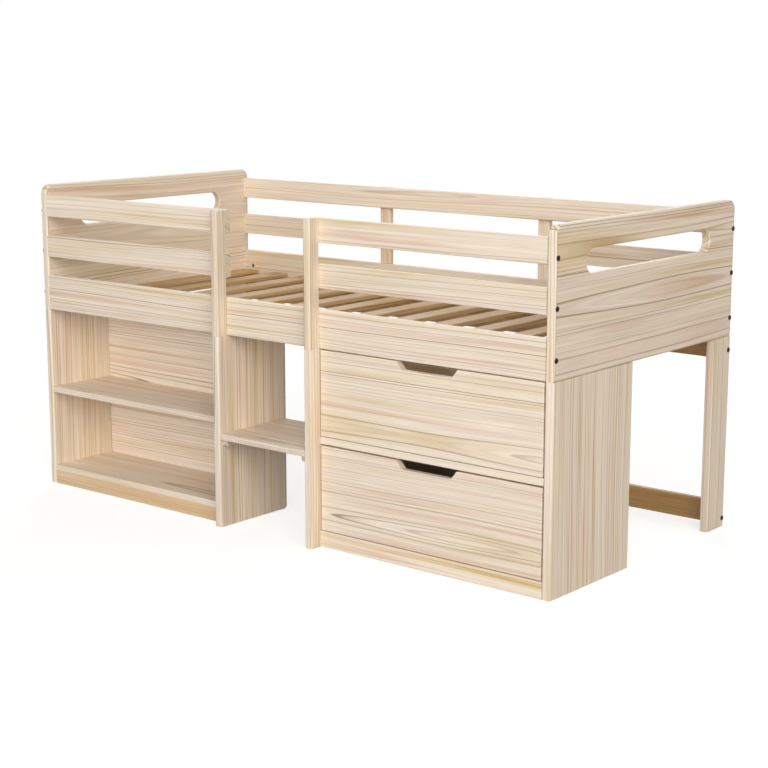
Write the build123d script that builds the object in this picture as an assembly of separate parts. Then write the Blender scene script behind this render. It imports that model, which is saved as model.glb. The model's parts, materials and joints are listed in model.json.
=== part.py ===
from build123d import *
import os

# Mid sleeper cabin bed of pine boards, in millimetres.
# The origin is on the floor below the middle of the bed, X runs along the bed, Y to the rear, Z up.

# Mattress and the play round it
mattress_length = 2000.0
mattress_width = 900.0
play_in_length = 6.0
play_in_width = 28.0

# Board thicknesses
panel_thickness = 27.0
rail_thickness = 20.0
back_thickness = 8.0
edge_easing = 2.0

# End panels
overall_height = 1020.0
under_bed_height = 603.0
panel_corner_radius = 30.0
panel_edge_radius = 6.0
hand_slot_length = 668.0
hand_slot_height = 68.0
hand_slot_below_top = 110.0
hand_slot_edge_radius = 5.0
rear_leg_width = 100.0

# Rails and guards, spread evenly between the top of the lower panels and the top of the end panels
side_rail_height = 116.0
guard_rail_height = 72.0
guard_below_panel_top = 33.0
rail_edge_radius = 3.0
entry_gap_width = 350.0
entry_gap_from_left = 860.0
stile_depth = 41.0
stile_edge_radius = 6.0
guard_post_width = 44.0
guard_post_from_middle = 336.0

# Rear stretchers
upper_stretcher_height = 70.0
lower_stretcher_height = 72.0
lower_stretcher_above_floor = 10.0

# Slats and the ledgers under them
slat_count = 14
slat_width = 66.0
slat_thickness = 14.0
slat_end_gap = 1.0
slat_from_end_panel = 3.0
ledger_height = 30.0
ledger_thickness = 20.0

# Bookcase
bookcase_depth = 256.0
bookcase_plinth_height = 45.0
middle_shelf_top = 338.0
bookcase_back_margin = 3.0

# Step
step_top = 300.0
cleat_width = 22.0
cleat_height = 18.0
cleat_end_setback = 12.0

# Drawer cabinet
cabinet_depth = 400.0
cabinet_plinth_height = 50.0
divider_rail_bottom = 317.0
divider_rail_height = 22.0
divider_rail_depth = 60.0
back_rebate_width = 9.0
cabinet_back_above_floor = 20.0

# Drawers
drawer_front_gap = 3.0
lower_drawer_top_gap = 5.0
upper_drawer_bottom_gap = 2.0
drawer_box_before_back = 22.0
drawer_box_above_front_edge = 10.0
drawer_box_below_top_edge = 49.0
drawer_side_thickness = 15.0
drawer_back_thickness = 12.0
drawer_side_play = 4.0
drawer_bottom_thickness = 6.0
drawer_bottom_lift = 10.0
housing_depth = 6.0
finger_cut_top_width = 217.0
finger_cut_bottom_width = 175.0
finger_cut_depth = 25.0
finger_cut_corner_radius = 12.0

# Wooden runners of the drawers
runner_height = 18.0
runner_width = 12.0
runner_front_setback = 26.0
runner_rear_gap = 6.0
running_clearance = 0.3
groove_bottom_clearance = 0.5
glue_clearance = 0.2

# Frame bolts with barrel nuts
bolt_diameter = 6.0
bolt_head_diameter = 15.0
bolt_head_thickness = 2.4
bolt_socket_width = 5.0
bolt_socket_depth = 1.6
nut_diameter = 14.0
nut_length = 12.0
nut_from_rail_end = 40.0
nut_slot_width = 1.6
nut_slot_depth = 1.2
bolt_above_rail_edge = 18.0
upper_stretcher_bolt_above_edge = 28.0
bolt_hole_clearance = 0.25
nut_hole_clearance = 0.15

# Wood screws and dowels
screw_diameter = 4.0
screw_head_diameter = 8.0
screw_head_height = 2.6
screw_length = 35.0
screw_hole_clearance = 0.1
screw_recess_width = 2.6
screw_recess_depth = 1.4
dowel_diameter = 8.0
dowel_length = 40.0
dowel_in_side = 15.0
dowel_from_edge = 50.0
dowel_clearance = 0.1
hole_end_clearance = 1.0
cut_overrun = 1.0

# Sizes that follow from the ones above
inner_length = mattress_length + play_in_length
inner_width = mattress_width + play_in_width
overall_length = inner_length + 2 * panel_thickness
panel_depth = inner_width + 2 * rail_thickness
overall_depth = stile_depth + panel_depth + rail_thickness
panel_height = overall_height - under_bed_height
guard_gap = (panel_height - side_rail_height - 2 * guard_rail_height - guard_below_panel_top) / 2
bolt_length = panel_thickness + nut_from_rail_end + nut_diameter / 2

left = -overall_length / 2
right = overall_length / 2
left_inner = left + panel_thickness
right_inner = right - panel_thickness
front = -overall_depth / 2 + stile_depth
rear = front + panel_depth
proud_front = front - stile_depth
front_inner = front + rail_thickness
rear_inner = rear - rail_thickness

gap_left = left + entry_gap_from_left
gap_right = gap_left + entry_gap_width
stile_left_x = (gap_left - panel_thickness, gap_left)
stile_right_x = (gap_right, gap_right + panel_thickness)

side_rail_z = (under_bed_height, under_bed_height + side_rail_height)
mid_rail_z = (side_rail_z[1] + guard_gap, side_rail_z[1] + guard_gap + guard_rail_height)
top_rail_z = (mid_rail_z[1] + guard_gap, mid_rail_z[1] + guard_gap + guard_rail_height)
upper_stretcher_z = (under_bed_height - upper_stretcher_height, under_bed_height)
lower_stretcher_z = (lower_stretcher_above_floor, lower_stretcher_above_floor + lower_stretcher_height)
ledger_z = (under_bed_height, under_bed_height + ledger_height)
slat_z = (ledger_z[1], ledger_z[1] + slat_thickness)

front_rail_y = (front, front_inner)
rear_rail_y = (rear_inner, rear)
front_ledger_y = (front_inner, front_inner + ledger_thickness)
rear_ledger_y = (rear_inner - ledger_thickness, rear_inner)
rear_post_y = (rear, rear + rail_thickness)
rear_leg_y = (rear - rear_leg_width, rear)
bookcase_back_y = (front + bookcase_depth, front + bookcase_depth + back_thickness)
cabinet_back_y = (front + cabinet_depth - back_thickness, front + cabinet_depth)

bottom_shelf_z = (bookcase_plinth_height, bookcase_plinth_height + rail_thickness)
middle_shelf_z = (middle_shelf_top - rail_thickness, middle_shelf_top)
divider_z = (divider_rail_bottom, divider_rail_bottom + divider_rail_height)
step_z = (step_top - rail_thickness, step_top)
cleat_z = (step_z[0] - cleat_height, step_z[0])
bookcase_x = (left_inner, stile_left_x[0])
cabinet_x = (stile_right_x[1], right_inner)

drawer_front_z = {
    "upper": (divider_z[1] + upper_drawer_bottom_gap, under_bed_height - drawer_front_gap),
    "lower": (cabinet_plinth_height + drawer_front_gap, divider_z[0] - lower_drawer_top_gap),
}
drawer_box_x = (cabinet_x[0] + drawer_side_play, cabinet_x[1] - drawer_side_play)
drawer_box_y = (front_inner, cabinet_back_y[0] - drawer_box_before_back)


def middle(span):
    """The point halfway between the two ends of a span."""
    return (span[0] + span[1]) / 2


def board(x, y, z, easing=edge_easing):
    """A board between a low and a high plane on each axis, with all its edges rounded over."""
    size = [high - low for low, high in (x, y, z)]
    solid = Pos(middle(x), middle(y), middle(z)) * Box(*size)
    return fillet(solid.edges(), easing)


def block(x, y, z):
    """A sharp-edged block between a low and a high plane on each axis, for cuts."""
    size = [high - low for low, high in (x, y, z)]
    return Pos(middle(x), middle(y), middle(z)) * Box(*size)


def along(place, direction, solid):
    """The solid, made up the Z axis, set at a place so that it points in a direction."""
    return Plane(origin=place, z_dir=direction).location * solid


def rod(radius, start, end):
    """A round rod on the Z axis between two heights."""
    return Pos(0, 0, start) * Cylinder(radius, end - start, align=(Align.CENTER, Align.CENTER, Align.MIN))


def screw(place, direction, clearance=0.0):
    """A countersunk wood screw with its head at the place. With a clearance it is the hole for one."""
    core = screw_diameter / 2 + clearance
    head = screw_head_diameter / 2 + clearance
    length = screw_length + (hole_end_clearance if clearance else 0.0)
    cone = Cone(head, core, screw_head_height, align=(Align.CENTER, Align.CENTER, Align.MIN))
    solid = cone + rod(core, screw_head_height, length)
    if not clearance:
        solid -= Box(screw_recess_width, screw_recess_width, 2 * screw_recess_depth)
    return along(place, direction, solid)


def dowel(place, direction, depth_behind, clearance=0.0):
    """A dowel across a joint face at the place, reaching some depth behind it and the rest ahead."""
    extra = hole_end_clearance if clearance else 0.0
    ahead = dowel_length - depth_behind
    return along(place, direction, rod(dowel_diameter / 2 + clearance, -depth_behind - extra, ahead + extra))


def frame_bolt(place, direction):
    """A bolt whose flat head lies on the board at the place, with a hexagon socket in the head."""
    head = rod(bolt_head_diameter / 2, -bolt_head_thickness, 0)
    head = fillet(head.edges().group_by(Axis.Z)[0], bolt_head_thickness / 3)
    socket = extrude(RegularPolygon(bolt_socket_width / 2, 6, major_radius=False), bolt_socket_depth)
    head -= Pos(0, 0, -bolt_head_thickness) * socket
    return along(place, direction, head + rod(bolt_diameter / 2, 0, bolt_length))


def bolt_hole(place, direction):
    """The bore that a frame bolt passes through."""
    radius = bolt_diameter / 2 + bolt_hole_clearance
    return along(place, direction, rod(radius, -hole_end_clearance, bolt_length + hole_end_clearance))


def barrel_nut(place, direction, bolt_axis):
    """A barrel nut across the bolt's line at the place, with a slot in the end that shows."""
    body = along(place, direction, rod(nut_diameter / 2, -nut_length / 2, nut_length / 2))
    bore = along(place, bolt_axis, rod(bolt_diameter / 2 + bolt_hole_clearance, -nut_diameter, nut_diameter))
    slot = Box(nut_diameter, nut_slot_width, 2 * nut_slot_depth)
    return body - bore - along(place, direction, Pos(0, 0, -nut_length / 2) * slot)


def nut_hole(place, direction):
    """The bore for a barrel nut, from the face of the rail that the direction leaves."""
    radius = nut_diameter / 2 + nut_hole_clearance
    mouth = -rail_thickness / 2 - hole_end_clearance
    return along(place, direction, rod(radius, mouth, nut_length / 2 + nut_hole_clearance))


def bolted_ends():
    """Each rail end held by a bolt: its height, its line in depth and the side its nut is let in from."""
    front_line = middle(front_rail_y)
    rear_line = middle(rear_rail_y)
    guard_heights = (mid_rail_z[0] + bolt_above_rail_edge, top_rail_z[0] + bolt_above_rail_edge)
    from_front = (0, 1, 0)
    from_rear = (0, -1, 0)
    ends = [(front_line, middle(side_rail_z), from_rear), (rear_line, middle(side_rail_z), from_front)]
    for height in guard_heights:
        ends.append((front_line, height, from_rear))
        ends.append((rear_line, height, from_rear))
    ends.append((rear_line, upper_stretcher_z[0] + upper_stretcher_bolt_above_edge, from_rear))
    ends.append((rear_line, lower_stretcher_z[0] + bolt_above_rail_edge, from_rear))
    return ends


def bolt_fixings():
    """All frame bolts and barrel nuts, and the bores for them."""
    bolts = []
    nuts = []
    bores = []
    for outer, inward in ((left, 1), (right, -1)):
        inner = outer + inward * panel_thickness
        for depth, height, nut_direction in bolted_ends():
            head_place = (outer, depth, height)
            nut_place = (inner + inward * nut_from_rail_end, depth, height)
            bolt_direction = (inward, 0, 0)
            bolts.append(frame_bolt(head_place, bolt_direction))
            nuts.append(barrel_nut(nut_place, nut_direction, bolt_direction))
            bores.append(bolt_hole(head_place, bolt_direction))
            bores.append(nut_hole(nut_place, nut_direction))
    return bolts, nuts, bores


def dowel_places():
    """Every dowel: where it crosses the joint, its direction, and how deep it sits behind the joint."""
    places = []
    up = (0, 0, 1)
    half = dowel_length / 2
    side_depths = {left: bookcase_depth, right: cabinet_depth}
    for outer, inward in ((left, 1), (right, -1)):
        line = outer + inward * panel_thickness / 2
        side_depth = side_depths[outer]
        for depth in (front + dowel_from_edge, front + side_depth - dowel_from_edge):
            places.append(((line, depth, under_bed_height), up, half))
        for depth in (middle(rear_leg_y) - rear_leg_width / 4, middle(rear_leg_y) + rear_leg_width / 4):
            places.append(((line, depth, under_bed_height), up, half))
    for stile_x in (stile_left_x, stile_right_x):
        for depth in (front - stile_depth / 2, middle(front_rail_y)):
            places.append(((middle(stile_x), depth, under_bed_height), up, half))
    for span, levels in bookcase_and_cabinet_levels():
        for face, outward in ((span[0], 1), (span[1], -1)):
            for depth, height in levels:
                places.append(((face, depth, height), (outward, 0, 0), dowel_in_side))
    return places


def bookcase_and_cabinet_levels():
    """The dowel lines of the shelves, plinths and divider rail, for the bookcase and the cabinet."""
    shelf_depths = (front + dowel_from_edge, front + bookcase_depth - dowel_from_edge)
    bookcase = [(depth, middle(level)) for depth in shelf_depths for level in (bottom_shelf_z, middle_shelf_z)]
    bookcase.append((middle(front_rail_y), bookcase_plinth_height / 2))
    cabinet = [(front + share * divider_rail_depth, middle(divider_z)) for share in (1 / 3, 3 / 4)]
    cabinet.append((middle(front_rail_y), cabinet_plinth_height / 2))
    return ((bookcase_x, bookcase), (cabinet_x, cabinet))


def slat_places():
    """The low and high X of every slat, spread evenly between the end panels."""
    first = left_inner + slat_from_end_panel
    pitch = (inner_length - 2 * slat_from_end_panel - slat_width) / (slat_count - 1)
    return [(first + number * pitch, first + number * pitch + slat_width) for number in range(slat_count)]


def quarter_points(span):
    """Two points a quarter of the way in from each end of a span."""
    quarter = (span[1] - span[0]) / 4
    return (span[0] + quarter, span[1] - quarter)


def stile_and_post_screws():
    """Screws from the rails into the entry stiles, and from the rear posts into the rear rails."""
    screws = []
    side_screws = (slat_z[1] + screw_head_diameter, side_rail_z[1] - guard_rail_height / 4)
    rows = [side_screws, quarter_points(mid_rail_z), quarter_points(top_rail_z)]
    for row in rows:
        for height in row:
            for stile_x in (stile_left_x, stile_right_x):
                screws.append(((middle(stile_x), front_inner, height), (0, -1, 0)))
            for post_x in guard_post_spans():
                screws.append(((middle(post_x), rear_post_y[1], height), (0, -1, 0)))
    return screws


def slat_and_ledger_screws():
    """Screws down through the slats, and level screws that hold the ledgers to the side rails."""
    screws = []
    slats = slat_places()
    for slat_x in slats:
        for ledger_y in (front_ledger_y, rear_ledger_y):
            screws.append(((middle(slat_x), middle(ledger_y), slat_z[1]), (0, 0, -1)))
    for first, second in zip(slats[0::3], slats[1::3]):
        between = (first[1] + second[0]) / 2
        screws.append(((between, front_ledger_y[1], middle(ledger_z)), (0, -1, 0)))
        screws.append(((between, rear_ledger_y[0], middle(ledger_z)), (0, 1, 0)))
    return screws


def step_screws():
    """Screws through the cleats into the sides, and up through the cleats into the step board."""
    screws = []
    cleat_y = cleat_span()
    for face, inward in ((gap_left, 1), (gap_right, -1)):
        for depth in quarter_points(cleat_y):
            screws.append(((face + inward * cleat_width, depth, middle(cleat_z)), (-inward, 0, 0)))
        for depth in (cleat_y[0] + cleat_width, cleat_y[1] - cleat_width):
            screws.append(((face + inward * cleat_width / 2, depth, cleat_z[0]), (0, 0, 1)))
    return screws


def back_panel_screws():
    """Screws that hold the two back panels to the sides behind them."""
    screws = []
    bookcase_lines = (left + panel_thickness / 2, middle(stile_left_x))
    bookcase_heights = (middle(bottom_shelf_z), middle(middle_shelf_z), under_bed_height - dowel_from_edge)
    for height in bookcase_heights:
        for line in bookcase_lines:
            screws.append(((line, bookcase_back_y[1], height), (0, -1, 0)))
    inset = back_rebate_width / 2
    cabinet_lines = (cabinet_x[0] - inset, cabinet_x[1] + inset)
    cabinet_heights = (cabinet_plinth_height, middle(divider_z), under_bed_height - dowel_from_edge)
    for height in cabinet_heights:
        for line in cabinet_lines:
            screws.append(((line, cabinet_back_y[1], height), (0, -1, 0)))
    return screws


def runner_screws():
    """Screws through the drawer runners into the cabinet sides."""
    screws = []
    run = runner_y()
    for runner_z in (runner_span("upper"), runner_span("lower")):
        for depth in quarter_points(run):
            screws.append(((cabinet_x[0] + runner_width, depth, middle(runner_z)), (-1, 0, 0)))
            screws.append(((cabinet_x[1] - runner_width, depth, middle(runner_z)), (1, 0, 0)))
    return screws


def guard_post_spans():
    """The X spans of the two rear guard posts, the same distance either side of the middle."""
    half = guard_post_width / 2
    return [(side * guard_post_from_middle - half, side * guard_post_from_middle + half) for side in (-1, 1)]


def cleat_span():
    """The Y span of the step cleats, short of the sides' front and rear edges."""
    return (proud_front + cleat_end_setback, front + bookcase_depth - cleat_end_setback)


def drawer_box_z(level):
    """The Z span of a drawer box behind its front."""
    low, high = drawer_front_z[level]
    return (low + drawer_box_above_front_edge, high - drawer_box_below_top_edge)


def runner_span(level):
    """The Z span of the runners of a drawer, at half the height of its box."""
    centre = middle(drawer_box_z(level))
    return (centre - runner_height / 2, centre + runner_height / 2)


def runner_y():
    """The Y span of the drawer runners."""
    return (front_inner + runner_front_setback, cabinet_back_y[0] - runner_rear_gap)


bolts, nuts, bolt_bores = bolt_fixings()
dowels = [dowel(*place) for place in dowel_places()]
dowel_bores = [dowel(*place, clearance=dowel_clearance) for place in dowel_places()]
screw_places = stile_and_post_screws() + slat_and_ledger_screws() + step_screws()
screw_places += back_panel_screws() + runner_screws()
screws = [screw(*place) for place in screw_places]
screw_bores = [screw(*place, clearance=screw_hole_clearance) for place in screw_places]
bores = [(bore, bore.bounding_box()) for bore in bolt_bores + dowel_bores + screw_bores]


def reaches(box, other):
    """Whether two bounding boxes share some space."""
    lows = zip(tuple(box.min), tuple(other.max))
    highs = zip(tuple(box.max), tuple(other.min))
    return all(low < high for low, high in lows) and all(high > low for high, low in highs)


def drilled(piece):
    """The piece with every bore that reaches into it."""
    box = piece.bounding_box()
    for bore, bore_box in bores:
        if reaches(box, bore_box):
            piece -= bore
    return piece


def end_panel(outer, inward):
    """An end panel: round top corners, rounded edges and a long hand slot below the top."""
    outline = Rectangle(panel_depth, panel_height)
    outline = fillet(outline.vertices().group_by(Axis.Y)[-1], panel_corner_radius)
    panel = extrude(Plane.YZ * outline, panel_thickness / 2, both=True)
    face_edges = panel.edges().group_by(Axis.X)
    panel = fillet(face_edges[0] + face_edges[-1], panel_edge_radius)
    slot_height = panel_height / 2 - hand_slot_below_top
    slot = Pos(0, 0, slot_height) * (Plane.YZ * SlotOverall(hand_slot_length, hand_slot_height))
    panel -= extrude(slot, panel_thickness, both=True)
    slot_edges = panel.edges().filter_by_position(Axis.Z, slot_height - hand_slot_height / 2,
                                                  slot_height + hand_slot_height / 2)
    slot_edges = slot_edges.filter_by_position(Axis.Y, -hand_slot_length / 2, hand_slot_length / 2)
    slot_edges = slot_edges.group_by(Axis.X)
    panel = fillet(slot_edges[0] + slot_edges[-1], hand_slot_edge_radius)
    centre = outer + inward * panel_thickness / 2
    return drilled(Pos(centre, middle((front, rear)), middle((under_bed_height, overall_height))) * panel)


def upright(x, y, z):
    """An upright board whose two front edges are well rounded and whose other edges are eased."""
    solid = block(x, y, z)
    front_edges = solid.edges().filter_by(Axis.Z).group_by(Axis.Y)[0]
    solid = fillet(front_edges, stile_edge_radius)
    rear_edges = solid.edges().filter_by(Axis.Z).group_by(Axis.Y)[-1]
    return fillet(rear_edges, edge_easing)


def rail(x, y, z):
    """A level rail with rounded long edges and square ends."""
    solid = block(x, y, z)
    return drilled(fillet(solid.edges().filter_by(Axis.X), rail_edge_radius))


def rails():
    """The side rails and guard rails of both long sides."""
    full = (left_inner, right_inner)
    left_part = (left_inner, gap_left)
    right_part = (gap_right, right_inner)
    return {
        "front_side_rail": rail(full, front_rail_y, side_rail_z),
        "rear_side_rail": rail(full, rear_rail_y, side_rail_z),
        "front_mid_rail_left": rail(left_part, front_rail_y, mid_rail_z),
        "front_mid_rail_right": rail(right_part, front_rail_y, mid_rail_z),
        "front_top_rail_left": rail(left_part, front_rail_y, top_rail_z),
        "front_top_rail_right": rail(right_part, front_rail_y, top_rail_z),
        "rear_mid_rail": rail(full, rear_rail_y, mid_rail_z),
        "rear_top_rail": rail(full, rear_rail_y, top_rail_z),
        "rear_stretcher_upper": rail(full, rear_rail_y, upper_stretcher_z),
        "rear_stretcher_lower": rail(full, rear_rail_y, lower_stretcher_z),
    }


def stiles_and_posts():
    """The stiles beside the entry gap and the posts behind the rear guard."""
    stile_y = (proud_front, front)
    stile_z = (under_bed_height, top_rail_z[1])
    pieces = {
        "entry_stile_left": drilled(upright(stile_left_x, stile_y, stile_z)),
        "entry_stile_right": drilled(upright(stile_right_x, stile_y, stile_z)),
    }
    for name, post_x in zip(("rear_guard_post_left", "rear_guard_post_right"), guard_post_spans()):
        pieces[name] = drilled(board(post_x, rear_post_y, stile_z, rail_edge_radius))
    return pieces


def slats_and_ledgers():
    """The slats and the two ledgers that carry them."""
    full = (left_inner, right_inner)
    pieces = {
        "front_ledger": drilled(board(full, front_ledger_y, ledger_z)),
        "rear_ledger": drilled(board(full, rear_ledger_y, ledger_z)),
    }
    slat_y = (front_inner + slat_end_gap, rear_inner - slat_end_gap)
    for number, slat_x in enumerate(slat_places(), start=1):
        pieces[f"slat_{number:02d}"] = drilled(board(slat_x, slat_y, slat_z, 2 * edge_easing))
    return pieces


def legs():
    """The two rear legs under the end panels."""
    leg_z = (0, under_bed_height)
    return {
        "rear_leg_left": drilled(board((left, left_inner), rear_leg_y, leg_z, rail_edge_radius)),
        "rear_leg_right": drilled(board((right_inner, right), rear_leg_y, leg_z, rail_edge_radius)),
    }


def bookcase():
    """The open bookcase under the left half, with a middle shelf, bottom shelf, plinth and back."""
    height = (0, under_bed_height)
    depth = (front, front + bookcase_depth)
    margin = bookcase_back_margin
    back_x = (left + margin, stile_left_x[1] - margin)
    back_z = (margin, under_bed_height - margin)
    return {
        "side_panel_left": drilled(upright((left, left_inner), depth, height)),
        "bookcase_inner_side": drilled(upright(stile_left_x, (proud_front, depth[1]), height)),
        "bookcase_middle_shelf": drilled(board(bookcase_x, depth, middle_shelf_z)),
        "bookcase_bottom_shelf": drilled(board(bookcase_x, depth, bottom_shelf_z)),
        "bookcase_plinth": drilled(board(bookcase_x, front_rail_y, (0, bottom_shelf_z[0]))),
        "bookcase_back": drilled(board(back_x, bookcase_back_y, back_z, edge_easing / 2)),
    }


def step():
    """The step board in the entry gap and the two cleats that carry it."""
    depth = (proud_front, front + bookcase_depth)
    cleats = []
    for cleat_x in ((gap_left, gap_left + cleat_width), (gap_right - cleat_width, gap_right)):
        cleats.append(drilled(board(cleat_x, cleat_span(), cleat_z)))
    return {
        "step_board": drilled(board((gap_left, gap_right), depth, step_z, rail_edge_radius)),
        "step_cleats": Compound(children=cleats),
    }


def cabinet():
    """The drawer cabinet under the right half, open at the top, with a rebated back."""
    height = (0, under_bed_height)
    rear_face = front + cabinet_depth
    back_x = (cabinet_x[0] - back_rebate_width, cabinet_x[1] + back_rebate_width)
    rebate_z = (-cut_overrun, under_bed_height + cut_overrun)
    rebate = block(back_x, (cabinet_back_y[0], rear_face + cut_overrun), rebate_z)
    play = glue_clearance
    back_z = (cabinet_back_above_floor, under_bed_height)
    back = board((back_x[0] + play, back_x[1] - play), cabinet_back_y, back_z, edge_easing / 2)
    inner = upright(stile_right_x, (proud_front, rear_face), height)
    outer = upright((right_inner, right), (front, rear_face), height)
    divider_y = (front, front + divider_rail_depth)
    return {
        "cabinet_inner_side": drilled(inner - rebate),
        "side_panel_right": drilled(outer - rebate),
        "cabinet_divider_rail": drilled(board(cabinet_x, divider_y, divider_z)),
        "cabinet_plinth": drilled(board(cabinet_x, front_rail_y, (0, cabinet_plinth_height))),
        "cabinet_back": drilled(back),
    }


def drawer_runners():
    """The four runners screwed to the cabinet sides."""
    runners = []
    for level in ("upper", "lower"):
        for runner_x in ((cabinet_x[0], cabinet_x[0] + runner_width), (cabinet_x[1] - runner_width, cabinet_x[1])):
            runners.append(drilled(board(runner_x, runner_y(), runner_span(level), edge_easing / 2)))
    return {"drawer_runners": Compound(children=runners)}


def finger_cut(top):
    """The trapezium cut in the top edge of a drawer front, with round lower corners."""
    wide = finger_cut_top_width / 2
    narrow = finger_cut_bottom_width / 2
    slope = (wide - narrow) / finger_cut_depth
    spare = finger_cut_depth
    reach = wide + slope * spare
    outline = Polygon((-narrow, -finger_cut_depth), (narrow, -finger_cut_depth), (reach, spare),
                      (-reach, spare), align=None)
    outline = fillet(outline.vertices().group_by(Axis.Y)[0], finger_cut_corner_radius)
    cut = extrude(Plane.XZ * outline, rail_thickness, both=True)
    return Pos(middle(cabinet_x), front, top) * cut


def drawer(level):
    """A drawer: front with a finger cut, two grooved sides let into it, a back and a thin bottom."""
    front_z = drawer_front_z[level]
    box_z = drawer_box_z(level)
    play = glue_clearance
    front_x = (cabinet_x[0] + drawer_front_gap, cabinet_x[1] - drawer_front_gap)
    left_side_x = (drawer_box_x[0], drawer_box_x[0] + drawer_side_thickness)
    right_side_x = (drawer_box_x[1] - drawer_side_thickness, drawer_box_x[1])
    housing_y = (front_inner - housing_depth, drawer_box_y[1])
    back_y = (drawer_box_y[1] - 2 * drawer_back_thickness, drawer_box_y[1] - drawer_back_thickness)
    bottom_z = (box_z[0] + drawer_bottom_lift, box_z[0] + drawer_bottom_lift + drawer_bottom_thickness)
    inner_x = (left_side_x[1] - housing_depth, right_side_x[0] + housing_depth)

    bottom_x = (inner_x[0] + play, inner_x[1] - play)
    bottom_y = (front_inner - housing_depth + play, back_y[1])
    bottom = block(bottom_x, bottom_y, bottom_z)
    bottom_groove_y = (front_inner - housing_depth, drawer_box_y[1] + cut_overrun)
    bottom_groove = block(inner_x, bottom_groove_y, (bottom_z[0] - play, bottom_z[1] + play))

    panel = board(front_x, front_rail_y, front_z, edge_easing)
    panel -= finger_cut(front_z[1])
    panel -= bottom_groove
    sides = []
    for side_x, outward in ((left_side_x, -1), (right_side_x, 1)):
        housing_x = (side_x[0] - play, side_x[1] + play)
        housing_z = (box_z[0] - play, box_z[1] + play)
        panel -= block(housing_x, (housing_y[0] - play, front_inner + cut_overrun), housing_z)
        side = board(side_x, housing_y, box_z, edge_easing / 2)
        sides.append(side - bottom_groove - runner_groove(level, outward))

    back_z = (bottom_z[1] + play, box_z[1])
    back_slot_z = (back_z[0], box_z[1] + cut_overrun)
    back_slot = block(inner_x, (back_y[0] - play, back_y[1] + play), back_slot_z)
    sides = [side - back_slot for side in sides]
    back = block((inner_x[0] + play, inner_x[1] - play), back_y, back_z)
    back_edges = back.edges().filter_by(Axis.X).group_by(Axis.Z)[-1]
    back = fillet(back_edges, edge_easing / 2)
    return {
        f"{level}_drawer_front": panel,
        f"{level}_drawer_sides": Compound(children=sides),
        f"{level}_drawer_back": back,
        f"{level}_drawer_bottom": bottom,
    }


def runner_groove(level, outward):
    """The groove in a drawer side that slides on a runner, closed at the front as a stop."""
    runner_z = runner_span(level)
    run = runner_y()
    low = runner_z[0] - 2 * running_clearance
    high = runner_z[1] + running_clearance
    face = drawer_box_x[1] if outward > 0 else drawer_box_x[0]
    floor = face - outward * (runner_width - drawer_side_play + groove_bottom_clearance)
    mouth = face + outward * cut_overrun
    groove_x = (min(mouth, floor), max(mouth, floor))
    return block(groove_x, (run[0] - running_clearance, drawer_box_y[1] + cut_overrun), (low, high))


def bed():
    """Every piece of the bed by name."""
    pieces = {
        "end_panel_left": end_panel(left, 1),
        "end_panel_right": end_panel(right, -1),
    }
    for group in (legs(), rails(), stiles_and_posts(), slats_and_ledgers(), bookcase(), step(), cabinet()):
        pieces.update(group)
    pieces.update(drawer_runners())
    for level in ("upper", "lower"):
        pieces.update(drawer(level))
    pieces["frame_bolts"] = Compound(children=bolts)
    pieces["barrel_nuts"] = Compound(children=nuts)
    pieces["wood_screws"] = Compound(children=screws)
    pieces["dowels"] = Compound(children=dowels)
    return pieces


os.makedirs("parts", exist_ok=True)
for node, piece in bed().items():
    export_step(piece, f"parts/{node}.step")
    print(node, round(piece.volume / 1000, 1), "cm3")
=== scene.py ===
import json
import math
import random

import bpy
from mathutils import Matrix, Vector


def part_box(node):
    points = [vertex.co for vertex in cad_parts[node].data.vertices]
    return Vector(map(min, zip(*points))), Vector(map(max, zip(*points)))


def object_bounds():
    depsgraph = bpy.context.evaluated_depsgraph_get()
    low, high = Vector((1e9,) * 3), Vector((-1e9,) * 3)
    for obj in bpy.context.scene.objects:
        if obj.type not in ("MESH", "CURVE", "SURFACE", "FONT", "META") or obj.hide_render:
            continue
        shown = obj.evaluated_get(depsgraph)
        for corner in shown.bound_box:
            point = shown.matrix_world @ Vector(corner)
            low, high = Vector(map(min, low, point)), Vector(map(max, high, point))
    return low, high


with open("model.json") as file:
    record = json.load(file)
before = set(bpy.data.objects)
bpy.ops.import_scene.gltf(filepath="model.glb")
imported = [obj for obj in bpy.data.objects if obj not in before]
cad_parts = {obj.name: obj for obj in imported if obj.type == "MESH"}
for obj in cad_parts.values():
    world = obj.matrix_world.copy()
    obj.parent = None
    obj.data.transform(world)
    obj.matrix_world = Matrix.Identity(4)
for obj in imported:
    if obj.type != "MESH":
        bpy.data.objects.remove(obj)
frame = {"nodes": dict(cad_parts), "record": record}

cad_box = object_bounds()
bed_middle = (cad_box[0] + cad_box[1]) / 2
nodes = frame["nodes"]

# Growth rings, in metres. Those of real pine are 2 to 5 mm apart, too fine to show in the picture, so
# they are drawn 9 mm apart. Their spacing is uneven over a few rings.
ring_width = 0.009
ring_unevenness = 1.6
seasons_alike = 3.0
season_detail = 1.0

# Pith of each log, in metres: how far it lies behind a board and beside it, how far it is shifted from
# stave to stave, and how far it drifts sideways and dives over the drift length
pith_near = 0.02
pith_far = 0.08
pith_beside = (0.03, 0.14)
stave_shift = 0.03
pith_drift = 0.012
pith_dive = 0.026
drift_length = 1.25
drift_detail = 1.0

# Patterns drawn out along the grain: length and width in metres, and the noise's detail
warps = (0.55, 0.06, 1.5)
bands = (0.9, 0.024, 2.5)
streaks = (0.45, 0.003, 2.0)
fibres = (0.07, 0.0011, 1.0)
warp_reach = 0.002

# Staves of the panels, the lipping on the end panels' edges and its glue line, in metres. A panel over
# this many staves wide is glued up from staves, and any other board is one plank.
panel_stave = 0.15
staves_of_a_panel = 1.5
one_plank = 2.0
lipping = 0.006
glue_line = 0.0012

# Steps that give each board another log and another length of it, and each stave another log
log_step = 3.17
stave_step = 7.31
length_step = 1.93

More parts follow.
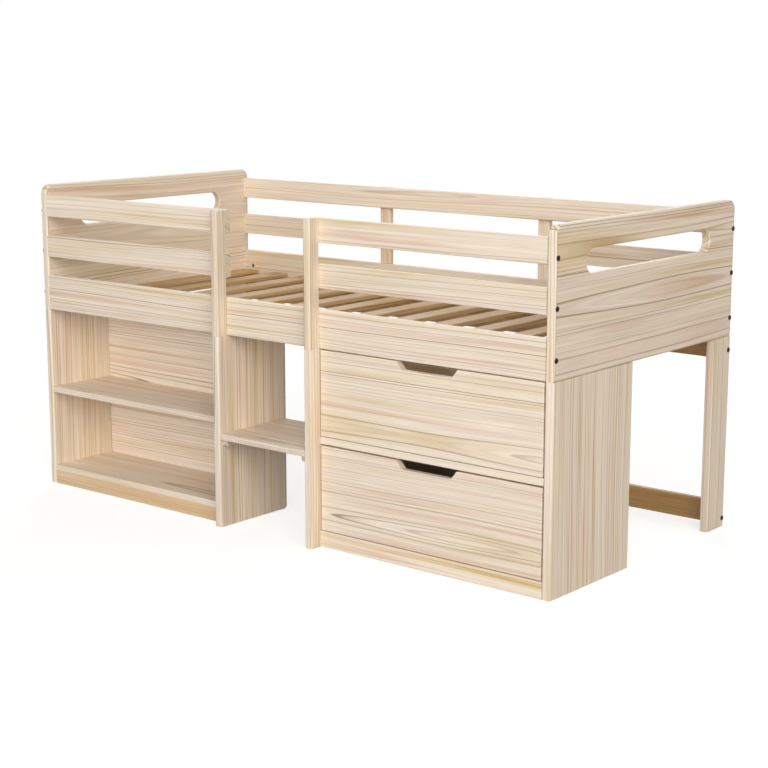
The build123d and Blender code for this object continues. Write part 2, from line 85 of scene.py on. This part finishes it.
# Drawer sides, cleats and runners share a node in pairs, whose own size says nothing about their grain.
# They run from front to rear and stand on edge: the axes along, across and through them.
paired_boards = (1, 2, 0)

# Late wood in one ring, from the place in the ring to the darkness
latewood_profile = (
    (0.0, 0.25),
    (0.05, 0.0),
    (0.60, 0.03),
    (0.78, 0.30),
    (0.88, 1.0),
    (0.96, 1.0),
    (1.0, 0.25),
)
ring_contrast = 1.2

# Levels that the patterns give, and the part of a noise's range that is spread over them
noise_spread = (0.25, 0.75)
season_spread = (0.35, 0.65)
quiet_years = (0.5, 1.12)
streak_levels = (0.88, 1.09)
fibre_levels = (0.96, 1.04)
stave_levels = (0.95, 1.04)
satin = (0.46, 0.62)

# End grain is darker: it shows where a face looks along the grain, by the cosine of that angle
end_grain_turn = (0.7, 0.95)
end_grain_level = 0.84

# Planed surface under matt lacquer: a relief in metres, its strength, and the fibres' share of it
grain_relief = 0.00035
relief_strength = 0.6
fibre_relief = 0.35
lacquer_ior = 1.5

# Pine under clear matt lacquer: cream ground with ochre, rosy and tan bands and brown late wood
pine_tones = (
    (0.22, "#CFB07A"),
    (0.30, "#E2CDA8"),
    (0.39, "#EDDDC3"),
    (0.53, "#F2E5D3"),
    (0.61, "#EDD9C6"),
    (0.69, "#E2C9AD"),
    (0.78, "#D4B384"),
)
pine_late_share = 0.85
# Steamed beech: rosy brown and even, with faint rings
beech_tones = (
    (0.30, "#C49A72"),
    (0.50, "#D0A880"),
    (0.70, "#BE946C"),
)
beech_late_share = 0.3
latewood = "#93704A"
glue_colour = "#8E7150"
# Tints of the stock: slats and ledgers are tan and the rear stretchers brown, partly their own darker stock
# and partly painted shade for the shade under the bed; the bookcase plinth is a little tan
tan_stock_and_painted_shade = "#DAC29B"
brown_stock_and_painted_shade = "#CCB285"
plinth_stock = "#F2E0C4"
clear_stock = "#FFFFFF"

# Boards whose pith has a chosen place, mostly sawn through the heart so that they show flames: the pith
# from the middle of the board, across it and behind it
flat_sawn = {
    "end_panel_right": (0.01, 0.022),
    "end_panel_left": (-0.02, 0.045),
    "upper_drawer_front": (-0.06, 0.040),
    "lower_drawer_front": (-0.05, 0.038),
    "bookcase_back": (0.05, 0.035),
    "bookcase_plinth": (0.01, 0.030),
    "entry_stile_right": (0.11, 0.030),
}

# Steel fittings: material name, colour and range of roughness. The bolts are bronzed, a satin brown black,
# the barrel nuts have grey zinc plate darkened by painted shade for the shadow in their bores, and the wood
# screws bright zinc plate.
steel_fittings = {
    "frame_bolts": ("bronzed_steel", "#3A3028", (0.34, 0.50)),
    # Barrel nuts: zinc darkened as painted shade for the shadow in their bores
    "barrel_nuts": ("zinc_steel_with_painted_shade", "#77726A", (0.34, 0.50)),
    "wood_screws": ("zinc_plated_steel", "#C4C2BC", (0.26, 0.42)),
}
clouds_per_metre = 350.0
cloud_detail = 3.0
cloud_spread = (0.3, 0.7)
cloud_levels = (0.85, 1.15)

# Studio: strengths of the white backdrop and of the dome, and the floor's sizes in metres, greys and glow
white_level = 1.0
ambient_level = 0.32
ambient_colour = "#F8FAFF"
floor_half = 60.0
floor_fade = (2.0, 5.0)
floor_bounce = 0.35
floor_lit = 0.45
floor_glow = 0.72
# Soft lights: azimuth and elevation in degrees, distance and width in metres, level and colour
softboxes = {
    "front_softbox": (8, 7, 14.0, 8.0, 0.52, "#FCFCFF"),
    "right_softbox": (55, 22, 13.0, 7.0, 0.54, "#FFF6EA"),
    "rear_softbox": (215, 30, 12.0, 6.0, 0.36, "#FFFAF2"),
}

# Camera: place in metres, turn about the upright axis and tilt down in radians, focal length in pixels of
# the square frame, and sensor width in millimetres
frame_pixels = 768
focal_pixels = 1720.3
camera_place = (3.5045, -4.1976, 1.4814)
camera_turn = 0.6866
camera_tilt = 0.1954
sensor_width = 36.0

# Places of the two colours among a Mix node's inputs, and of the mixed colour among its outputs
first_colour = 6
second_colour = 7
mixed_colour = 2


def linear(hex_colour):
    """sRGB hex to linear RGBA: c / 12.92 up to 0.04045, else ((c + 0.055) / 1.055) to the power 2.4."""
    parts = [int(hex_colour[i:i + 2], 16) / 255 for i in (1, 3, 5)]
    return [c / 12.92 if c <= 0.04045 else ((c + 0.055) / 1.055) ** 2.4 for c in parts] + [1.0]


def grey(value):
    """An opaque grey."""
    return (value, value, value, 1.0)


def add(tree, kind, feeds=None, **settings):
    """Adds a node with its settings, and feeds its inputs with constants, sockets or nodes' first outputs."""
    node = tree.nodes.new(kind)
    for name, value in settings.items():
        setattr(node, name, value)
    for place, source in (feeds or {}).items():
        if isinstance(source, bpy.types.Node):
            source = source.outputs[0]
        if isinstance(source, bpy.types.NodeSocket):
            tree.links.new(source, node.inputs[place])
        else:
            node.inputs[place].default_value = source
    return node


def set_stops(ramp_node, stops):
    """Sets a colour ramp's stops from (place, colour) pairs."""
    ramp = ramp_node.color_ramp
    while len(ramp.elements) < len(stops):
        ramp.elements.new(0.5)
    for element, (place, colour) in zip(ramp.elements, stops):
        element.position = place
        element.color = colour
    return ramp_node


def new_material(name):
    """An empty material and its node tree."""
    material = bpy.data.materials.new(name)
    material.use_nodes = True
    material.node_tree.nodes.clear()
    return material, material.node_tree


def along_grain(tree, place, sizes):
    """Noise drawn out along the straight grain, with this length, width and detail."""
    length, width, detail = sizes
    squeezed = add(tree, "ShaderNodeVectorMath", {0: place, 1: (1 / length, 1 / width, 1 / width)},
                   operation="MULTIPLY")
    return add(tree, "ShaderNodeTexNoise", {"Vector": squeezed, "Scale": 1.0, "Detail": detail})


def along_rings(tree, along, radius, log, sizes):
    """Noise drawn out along the grain that follows the rings, with this length, width and detail."""
    length, width, detail = sizes
    x = add(tree, "ShaderNodeMath", {0: along, 1: 1 / length}, operation="MULTIPLY")
    y = add(tree, "ShaderNodeMath", {0: radius, 1: 1 / width}, operation="MULTIPLY")
    place = add(tree, "ShaderNodeCombineXYZ", {0: x, 1: y, 2: log})
    return add(tree, "ShaderNodeTexNoise", {"Vector": place, "Scale": 1.0, "Detail": detail}).outputs[0]


def sideways(tree, noise, across, through):
    """A shift by up to these lengths across and through the board: (2 * noise - 1) * length."""
    return add(tree, "ShaderNodeVectorMath", {0: noise.outputs["Color"], 1: (0, 2 * across, 2 * through),
                                              2: (0, -across, -through)}, operation="MULTIPLY_ADD")


def pith_distance(tree, given, across, log, luck):
    """Distance of each point from the pith of its log, which drifts sideways and dives along the grain.

    Distance = length of (place - pith + drift + warp), taken across and through the board.
    """
    along, _, through = add(tree, "ShaderNodeSeparateXYZ", {0: given.outputs["Place"]}).outputs
    pith = add(tree, "ShaderNodeSeparateXYZ", {0: given.outputs["Pith"]})
    shift = add(tree, "ShaderNodeMapRange", {"Value": luck.outputs[0], "To Min": -stave_shift,
                                             "To Max": stave_shift})
    pith_across = add(tree, "ShaderNodeMath", {0: pith.outputs[1], 1: shift}, operation="ADD")
    from_across = add(tree, "ShaderNodeMath", {0: across, 1: pith_across}, operation="SUBTRACT")
    from_through = add(tree, "ShaderNodeMath", {0: through, 1: pith.outputs[2]}, operation="ADD")
    from_pith = add(tree, "ShaderNodeCombineXYZ", {1: from_across, 2: from_through})

    along_drift = add(tree, "ShaderNodeMath", {0: along, 1: 1 / drift_length}, operation="MULTIPLY")
    line = add(tree, "ShaderNodeCombineXYZ", {0: along_drift, 1: log})
    drift = add(tree, "ShaderNodeTexNoise", {"Vector": line, "Scale": 1.0, "Detail": drift_detail})
    drift = sideways(tree, drift, pith_drift, pith_dive)
    warp = sideways(tree, along_grain(tree, given.outputs["Place"], warps), warp_reach, warp_reach)
    moved = add(tree, "ShaderNodeVectorMath", {0: from_pith, 1: drift}, operation="ADD")
    moved = add(tree, "ShaderNodeVectorMath", {0: moved, 1: warp}, operation="ADD")
    return add(tree, "ShaderNodeVectorMath", {0: moved}, operation="LENGTH").outputs["Value"]


def latewood_lines(tree, radius, log):
    """Dark narrow lines, one late in each ring, of uneven spacing and weight.

    Ring phase = radius / ring width + unevenness * noise of the radius. Weight = luck of the ring to the
    power of the contrast, times a level from the same noise, so that strong lines come in bundles.
    """
    years = add(tree, "ShaderNodeMath", {0: radius, 1: 1 / ring_width}, operation="MULTIPLY")
    season = add(tree, "ShaderNodeMath", {0: years, 1: 1 / seasons_alike, 2: log}, operation="MULTIPLY_ADD")
    unevenness = add(tree, "ShaderNodeTexNoise", {"W": season, "Scale": 1.0, "Detail": season_detail},
                     noise_dimensions="1D")
    phase = add(tree, "ShaderNodeMath", {0: unevenness, 1: ring_unevenness, 2: years},
                operation="MULTIPLY_ADD")
    ring = add(tree, "ShaderNodeMath", {0: phase}, operation="FLOOR")
    part = add(tree, "ShaderNodeMath", {0: phase}, operation="FRACT")
    late = set_stops(add(tree, "ShaderNodeValToRGB", {0: part}),
                     [(stop, grey(value)) for stop, value in latewood_profile])
    year = add(tree, "ShaderNodeMath", {0: ring, 1: log}, operation="ADD")
    weight = add(tree, "ShaderNodeTexWhiteNoise", {"W": year}, noise_dimensions="1D")
    weight = add(tree, "ShaderNodeMath", {0: weight.outputs["Value"], 1: ring_contrast}, operation="POWER")
    quiet = add(tree, "ShaderNodeMapRange", {"Value": unevenness, "From Min": season_spread[0],
                                             "From Max": season_spread[1], "To Min": quiet_years[0],
                                             "To Max": quiet_years[1]})
    weight = add(tree, "ShaderNodeMath", {0: weight, 1: quiet}, operation="MULTIPLY")
    return add(tree, "ShaderNodeMath", {0: late, 1: weight}, operation="MULTIPLY")


def wood_group(name, tones, late_share):
    """Wood that is solid all through. Place is in metres: X along the grain, Y across, Z through the board.

    Each stave comes from its own log. Bands of tone, latewood lines and fine streaks follow the rings
    about its pith, and fibres follow the grain.
    """
    tree = bpy.data.node_groups.new(name, "ShaderNodeTree")
    for label, kind in (("Place", "Vector"), ("Pith", "Vector"), ("Facing", "Float"), ("Log", "Float"),
                        ("Stave", "Float"), ("Stock_and_shade", "Color")):
        tree.interface.new_socket(name=label, in_out="INPUT", socket_type="NodeSocket" + kind)
    for label, kind in (("Colour", "Color"), ("Roughness", "Float"), ("Height", "Float")):
        tree.interface.new_socket(name=label, in_out="OUTPUT", socket_type="NodeSocket" + kind)
    given = add(tree, "NodeGroupInput")
    along, across, _ = add(tree, "ShaderNodeSeparateXYZ", {0: given.outputs["Place"]}).outputs

    ratio = add(tree, "ShaderNodeMath", {0: across, 1: given.outputs["Stave"]}, operation="DIVIDE")
    stave = add(tree, "ShaderNodeMath", {0: ratio}, operation="ROUND")
    log = add(tree, "ShaderNodeMath", {0: stave, 1: stave_step, 2: given.outputs["Log"]},
              operation="MULTIPLY_ADD")
    luck = add(tree, "ShaderNodeTexWhiteNoise", {"W": log}, noise_dimensions="1D")
    luck = add(tree, "ShaderNodeSeparateColor", {0: luck.outputs["Color"]})

    stave_middle = add(tree, "ShaderNodeMath", {0: stave, 1: given.outputs["Stave"]}, operation="MULTIPLY")
    in_stave = add(tree, "ShaderNodeMath", {0: across, 1: stave_middle}, operation="SUBTRACT")
    radius = pith_distance(tree, given, in_stave, log, luck)
    late = latewood_lines(tree, radius, log)
    band = along_rings(tree, along, radius, log, bands)
    streak = along_rings(tree, along, radius, log, streaks)
    fibre = along_grain(tree, given.outputs["Place"], fibres)

    early = set_stops(add(tree, "ShaderNodeValToRGB", {0: band}),
                      [(stop, linear(tone)) for stop, tone in tones])
    late_mix = add(tree, "ShaderNodeMath", {0: late, 1: late_share}, operation="MULTIPLY")
    colour = add(tree, "ShaderNodeMix", {0: late_mix, first_colour: early, second_colour: linear(latewood)},
                 data_type="RGBA")
    # Times the stock tint, which on the slats, ledgers and rear stretchers is partly painted shade
    colour = add(tree, "ShaderNodeVectorMath", {0: colour.outputs[mixed_colour], 1: given.outputs["Stock_and_shade"]},
                 operation="MULTIPLY")
    level = add(tree, "ShaderNodeMapRange", {"Value": given.outputs["Facing"], "From Min": end_grain_turn[0],
                                             "From Max": end_grain_turn[1], "To Min": 1.0,
                                             "To Max": end_grain_level})
    for noise, (low, high) in ((streak, streak_levels), (fibre, fibre_levels)):
        part = add(tree, "ShaderNodeMapRange", {"Value": noise, "From Min": noise_spread[0],
                                                "From Max": noise_spread[1], "To Min": low, "To Max": high})
        level = add(tree, "ShaderNodeMath", {0: level, 1: part}, operation="MULTIPLY")
    part = add(tree, "ShaderNodeMapRange", {"Value": luck.outputs[2], "To Min": stave_levels[0],
                                            "To Max": stave_levels[1]})
    level = add(tree, "ShaderNodeMath", {0: level, 1: part}, operation="MULTIPLY")
    colour = add(tree, "ShaderNodeVectorMath", {0: colour, "Scale": level}, operation="SCALE")
    roughness = add(tree, "ShaderNodeMapRange", {"Value": fibre, "From Min": noise_spread[0],
                                                 "From Max": noise_spread[1], "To Min": satin[0],
                                                 "To Max": satin[1]})
    height = add(tree, "ShaderNodeMath", {0: fibre, 1: fibre_relief, 2: late}, operation="MULTIPLY_ADD")
    add(tree, "NodeGroupOutput", {"Colour": colour, "Roughness": roughness, "Height": height})
    return tree


def grain_order(node):
    """The axes along the grain, across the board and through it, as 0, 1 or 2, from the node's sizes."""
    if node.endswith("_sides") or node in ("step_cleats", "drawer_runners"):
        return paired_boards
    low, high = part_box(node)
    size = high - low
    return tuple(sorted(range(3), key=lambda axis: -size[axis]))


def pith_place(node, number, width):
    """Where the pith lies from the board's middle: beside a board without a chosen place, and behind it."""
    if node in flat_sawn:
        return (0.0, *flat_sawn[node])
    luck = random.Random(number)
    side = luck.choice((-1, 1))
    beside = min(width, panel_stave) / 4 + luck.uniform(*pith_beside)
    return (0.0, side * beside, luck.uniform(pith_near, pith_far))


def stock_and_shade_tint(node):
    """The tint of the board's stock, which on the slats, ledgers and rear stretchers is partly painted shade.
    """
    if node.startswith("rear_stretcher"):
        return brown_stock_and_painted_shade
    if node.startswith("slat_") or node.endswith("_ledger"):
        return tan_stock_and_painted_shade
    if node == "bookcase_plinth":
        return plinth_stock
    return clear_stock


def lipped_colour(tree, wood, place, order, low, high):
    """The colour of a board with an upright lipping glued on both ends.

    Distance from an end = half the length - |place along the grain|. Nearer than the lipping's thickness
    the grain runs upright, and at that distance lies a thin dark glue line.
    """
    along, across, through = order
    from_middle = add(tree, "ShaderNodeMath", {0: place.outputs[along], 1: (low[along] + high[along]) / 2},
                      operation="SUBTRACT")
    from_middle = add(tree, "ShaderNodeMath", {0: from_middle}, operation="ABSOLUTE")
    from_end = add(tree, "ShaderNodeMath", {0: (high[along] - low[along]) / 2, 1: from_middle},
                   operation="SUBTRACT")
    on_lipping = add(tree, "ShaderNodeMath", {0: from_end, 1: lipping}, operation="LESS_THAN")
    on_joint = add(tree, "ShaderNodeMath", {0: from_end, 1: lipping, 2: glue_line / 2}, operation="COMPARE")
    upright = add(tree, "ShaderNodeCombineXYZ", {0: place.outputs[across], 1: place.outputs[through],
                                                 2: from_middle})
    strip_log = wood.inputs["Log"].default_value + log_step / 2
    strip = add(tree, "ShaderNodeGroup", {"Place": upright, "Log": strip_log, "Stave": one_plank,
                                          "Stock_and_shade": linear(clear_stock),
                                          "Pith": (0.0, pith_beside[1], pith_near)},
                node_tree=wood.node_tree)
    colour = add(tree, "ShaderNodeMix", {0: on_lipping, first_colour: wood.outputs["Colour"],
                                         second_colour: strip.outputs["Colour"]}, data_type="RGBA")
    colour = add(tree, "ShaderNodeMix", {0: on_joint, first_colour: colour.outputs[mixed_colour],
                                         second_colour: linear(glue_colour)}, data_type="RGBA")
    return colour.outputs[mixed_colour]


def board_material(node, number, group):
    """Planed and lacquered wood of one board: its own cut of the log, a satin surface and a faint relief."""
    low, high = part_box(node)
    middle = (low + high) / 2
    order = grain_order(node)
    width = high[order[1]] - low[order[1]]
    upright_or_end = order[0] == 2 or node.startswith("end_panel")
    glued_up = upright_or_end and width > staves_of_a_panel * panel_stave
    material, tree = new_material(f"{group.name}_{node}")
    coordinates = add(tree, "ShaderNodeTexCoord")
    place = add(tree, "ShaderNodeSeparateXYZ", {0: coordinates.outputs["Object"]})
    turned = add(tree, "ShaderNodeCombineXYZ", {slot: place.outputs[axis] for slot, axis in enumerate(order)})
    shift = [-middle[axis] for axis in order]
    shift[0] += length_step * number
    centred = add(tree, "ShaderNodeMapping", {"Vector": turned, "Location": shift})
    facing = add(tree, "ShaderNodeSeparateXYZ", {0: coordinates.outputs["Normal"]})
    facing = add(tree, "ShaderNodeMath", {0: facing.outputs[order[0]]}, operation="ABSOLUTE")
    wood = add(tree, "ShaderNodeGroup", node_tree=group)
    tree.links.new(centred.outputs[0], wood.inputs["Place"])
    tree.links.new(facing.outputs[0], wood.inputs["Facing"])
    wood.inputs["Pith"].default_value = pith_place(node, number, width)
    wood.inputs["Log"].default_value = log_step * number
    wood.inputs["Stave"].default_value = panel_stave if glued_up else one_plank
    wood.inputs["Stock_and_shade"].default_value = linear(stock_and_shade_tint(node))
    colour = wood.outputs["Colour"]
    if node.startswith("end_panel"):
        colour = lipped_colour(tree, wood, place, order, low, high)
    bump = add(tree, "ShaderNodeBump", {"Height": wood.outputs["Height"], "Distance": grain_relief,
                                        "Strength": relief_strength})
    shader = add(tree, "ShaderNodeBsdfPrincipled", {"Base Color": colour, "Normal": bump,
                                                    "Roughness": wood.outputs["Roughness"],
                                                    "IOR": lacquer_ior})
    add(tree, "ShaderNodeOutputMaterial", {"Surface": shader})
    return material


def steel_material(name, hex_colour, gloss):
    """Steel under a thin even coat: colour and roughness vary a little over about 3 mm."""
    material, tree = new_material(name)
    coordinates = add(tree, "ShaderNodeTexCoord")
    cloud = add(tree, "ShaderNodeTexNoise", {"Vector": coordinates.outputs["Object"],
                                             "Scale": clouds_per_metre, "Detail": cloud_detail})
    level, roughness = [
        add(tree, "ShaderNodeMapRange", {"Value": cloud, "From Min": cloud_spread[0],
                                         "From Max": cloud_spread[1], "To Min": low, "To Max": high})
        for low, high in (cloud_levels, gloss)
    ]
    colour = add(tree, "ShaderNodeVectorMath", {0: linear(hex_colour)[:3], "Scale": level}, operation="SCALE")
    shader = add(tree, "ShaderNodeBsdfPrincipled", {"Base Color": colour, "Metallic": 1.0,
                                                    "Roughness": roughness})
    add(tree, "ShaderNodeOutputMaterial", {"Surface": shader})
    return material


def dress(node, material):
    """Puts a material on a CAD node."""
    for slot in nodes[node].material_slots:
        slot.material = material


def dress_boards():
    """Gives every wooden piece its own cut of pine, pine-faced board or beech."""
    slots = {part["node"]: part["material_slot"] for part in frame["record"]["subparts"]}
    groups = {
        "pine": wood_group("planed_pine", pine_tones, pine_late_share),
        "pine_plywood": wood_group("pine_faced_board", pine_tones, pine_late_share),
        "beech": wood_group("planed_beech", beech_tones, beech_late_share),
    }
    for number, node in enumerate(sorted(nodes)):
        if slots[node] in groups:
            dress(node, board_material(node, number, groups[slots[node]]))


def dress_fittings():
    """Gives bolts, barrel nuts and wood screws their steel."""
    for node, (name, hex_colour, gloss) in steel_fittings.items():
        dress(node, steel_material(name, hex_colour, gloss))


def area_light(name, azimuth, elevation, distance, width, level, hex_colour):
    """A square soft light aimed at the bed. Azimuth 0 is in front and 90 on the right, in degrees.

    Watts = level * pi squared * distance squared, so that a face square to it shows its colour times level.
    """
    turn, rise = math.radians(azimuth), math.radians(elevation)
    direction = Vector((math.sin(turn) * math.cos(rise), -math.cos(turn) * math.cos(rise), math.sin(rise)))
    lamp = bpy.data.lights.new(name, "AREA")
    lamp.size = width
    lamp.energy = level * (math.pi * distance) ** 2
    lamp.color = linear(hex_colour)[:3]
    light = bpy.data.objects.new(name, lamp)
    light.location = bed_middle + distance * direction
    light.rotation_euler = (-direction).to_track_quat("-Z", "Y").to_euler()
    bpy.context.scene.collection.objects.link(light)


def seen_directly(tree):
    """1 for a ray from the camera, off a glossy surface or through glass, else 0."""
    path = add(tree, "ShaderNodeLightPath")
    seen = add(tree, "ShaderNodeMath", {0: path.outputs["Is Camera Ray"], 1: path.outputs["Is Glossy Ray"]},
               operation="MAXIMUM")
    return add(tree, "ShaderNodeMath", {0: seen, 1: path.outputs["Is Transmission Ray"]}, operation="MAXIMUM")


def studio_world():
    """An even dome, white where it is seen."""
    world = bpy.data.worlds.new("studio")
    bpy.context.scene.world = world
    world.use_nodes = True
    tree = world.node_tree
    tree.nodes.clear()
    dome = add(tree, "ShaderNodeBackground", {"Color": linear(ambient_colour), "Strength": ambient_level})
    white = add(tree, "ShaderNodeBackground", {"Color": grey(1.0), "Strength": white_level})
    surface = add(tree, "ShaderNodeMixShader", {0: seen_directly(tree), 1: dome, 2: white})
    add(tree, "ShaderNodeOutputWorld", {"Surface": surface})


def studio_floor():
    """A pale level floor at the height of the feet, white where it is lit or far off, with a soft shadow."""
    mesh = bpy.data.meshes.new("studio_floor")
    corners = [(x * floor_half, y * floor_half, 0.0) for x, y in ((-1, -1), (1, -1), (1, 1), (-1, 1))]
    mesh.from_pydata(corners, [], [(0, 1, 2, 3)])
    floor = bpy.data.objects.new("studio_floor", mesh)
    bpy.context.scene.collection.objects.link(floor)
    material, tree = new_material("pale_floor")
    coordinates = add(tree, "ShaderNodeTexCoord")
    distance = add(tree, "ShaderNodeVectorMath", {0: coordinates.outputs["Object"]}, operation="LENGTH")
    far = add(tree, "ShaderNodeMapRange", {"Value": distance.outputs["Value"], "From Min": floor_fade[0],
                                           "From Max": floor_fade[1]}, interpolation_type="SMOOTHSTEP")
    unseen = add(tree, "ShaderNodeBsdfDiffuse", {"Color": grey(floor_bounce)})
    lit = add(tree, "ShaderNodeBsdfDiffuse", {"Color": grey(floor_lit)})
    glow = add(tree, "ShaderNodeEmission", {"Color": grey(1.0), "Strength": floor_glow})
    near = add(tree, "ShaderNodeAddShader", {0: lit, 1: glow})
    white = add(tree, "ShaderNodeEmission", {"Color": grey(1.0), "Strength": white_level})
    shown = add(tree, "ShaderNodeMixShader", {0: far, 1: near, 2: white})
    surface = add(tree, "ShaderNodeMixShader", {0: seen_directly(tree), 1: unseen, 2: shown})
    add(tree, "ShaderNodeOutputMaterial", {"Surface": surface})
    mesh.materials.append(material)


def studio_camera():
    """The camera in front on the right, tilted down at the bed."""
    lens = bpy.data.cameras.new("camera")
    lens.sensor_width = sensor_width
    lens.lens = focal_pixels / frame_pixels * sensor_width
    camera = bpy.data.objects.new("camera", lens)
    camera.location = camera_place
    camera.rotation_euler = (math.pi / 2 - camera_tilt, 0, camera_turn)
    bpy.context.scene.collection.objects.link(camera)
    bpy.context.scene.camera = camera


dress_boards()
dress_fittings()
studio_world()
studio_floor()
for light_name, light_setting in softboxes.items():
    area_light(light_name, *light_setting)
studio_camera()
bpy.context.scene.view_settings.view_transform = "Standard"
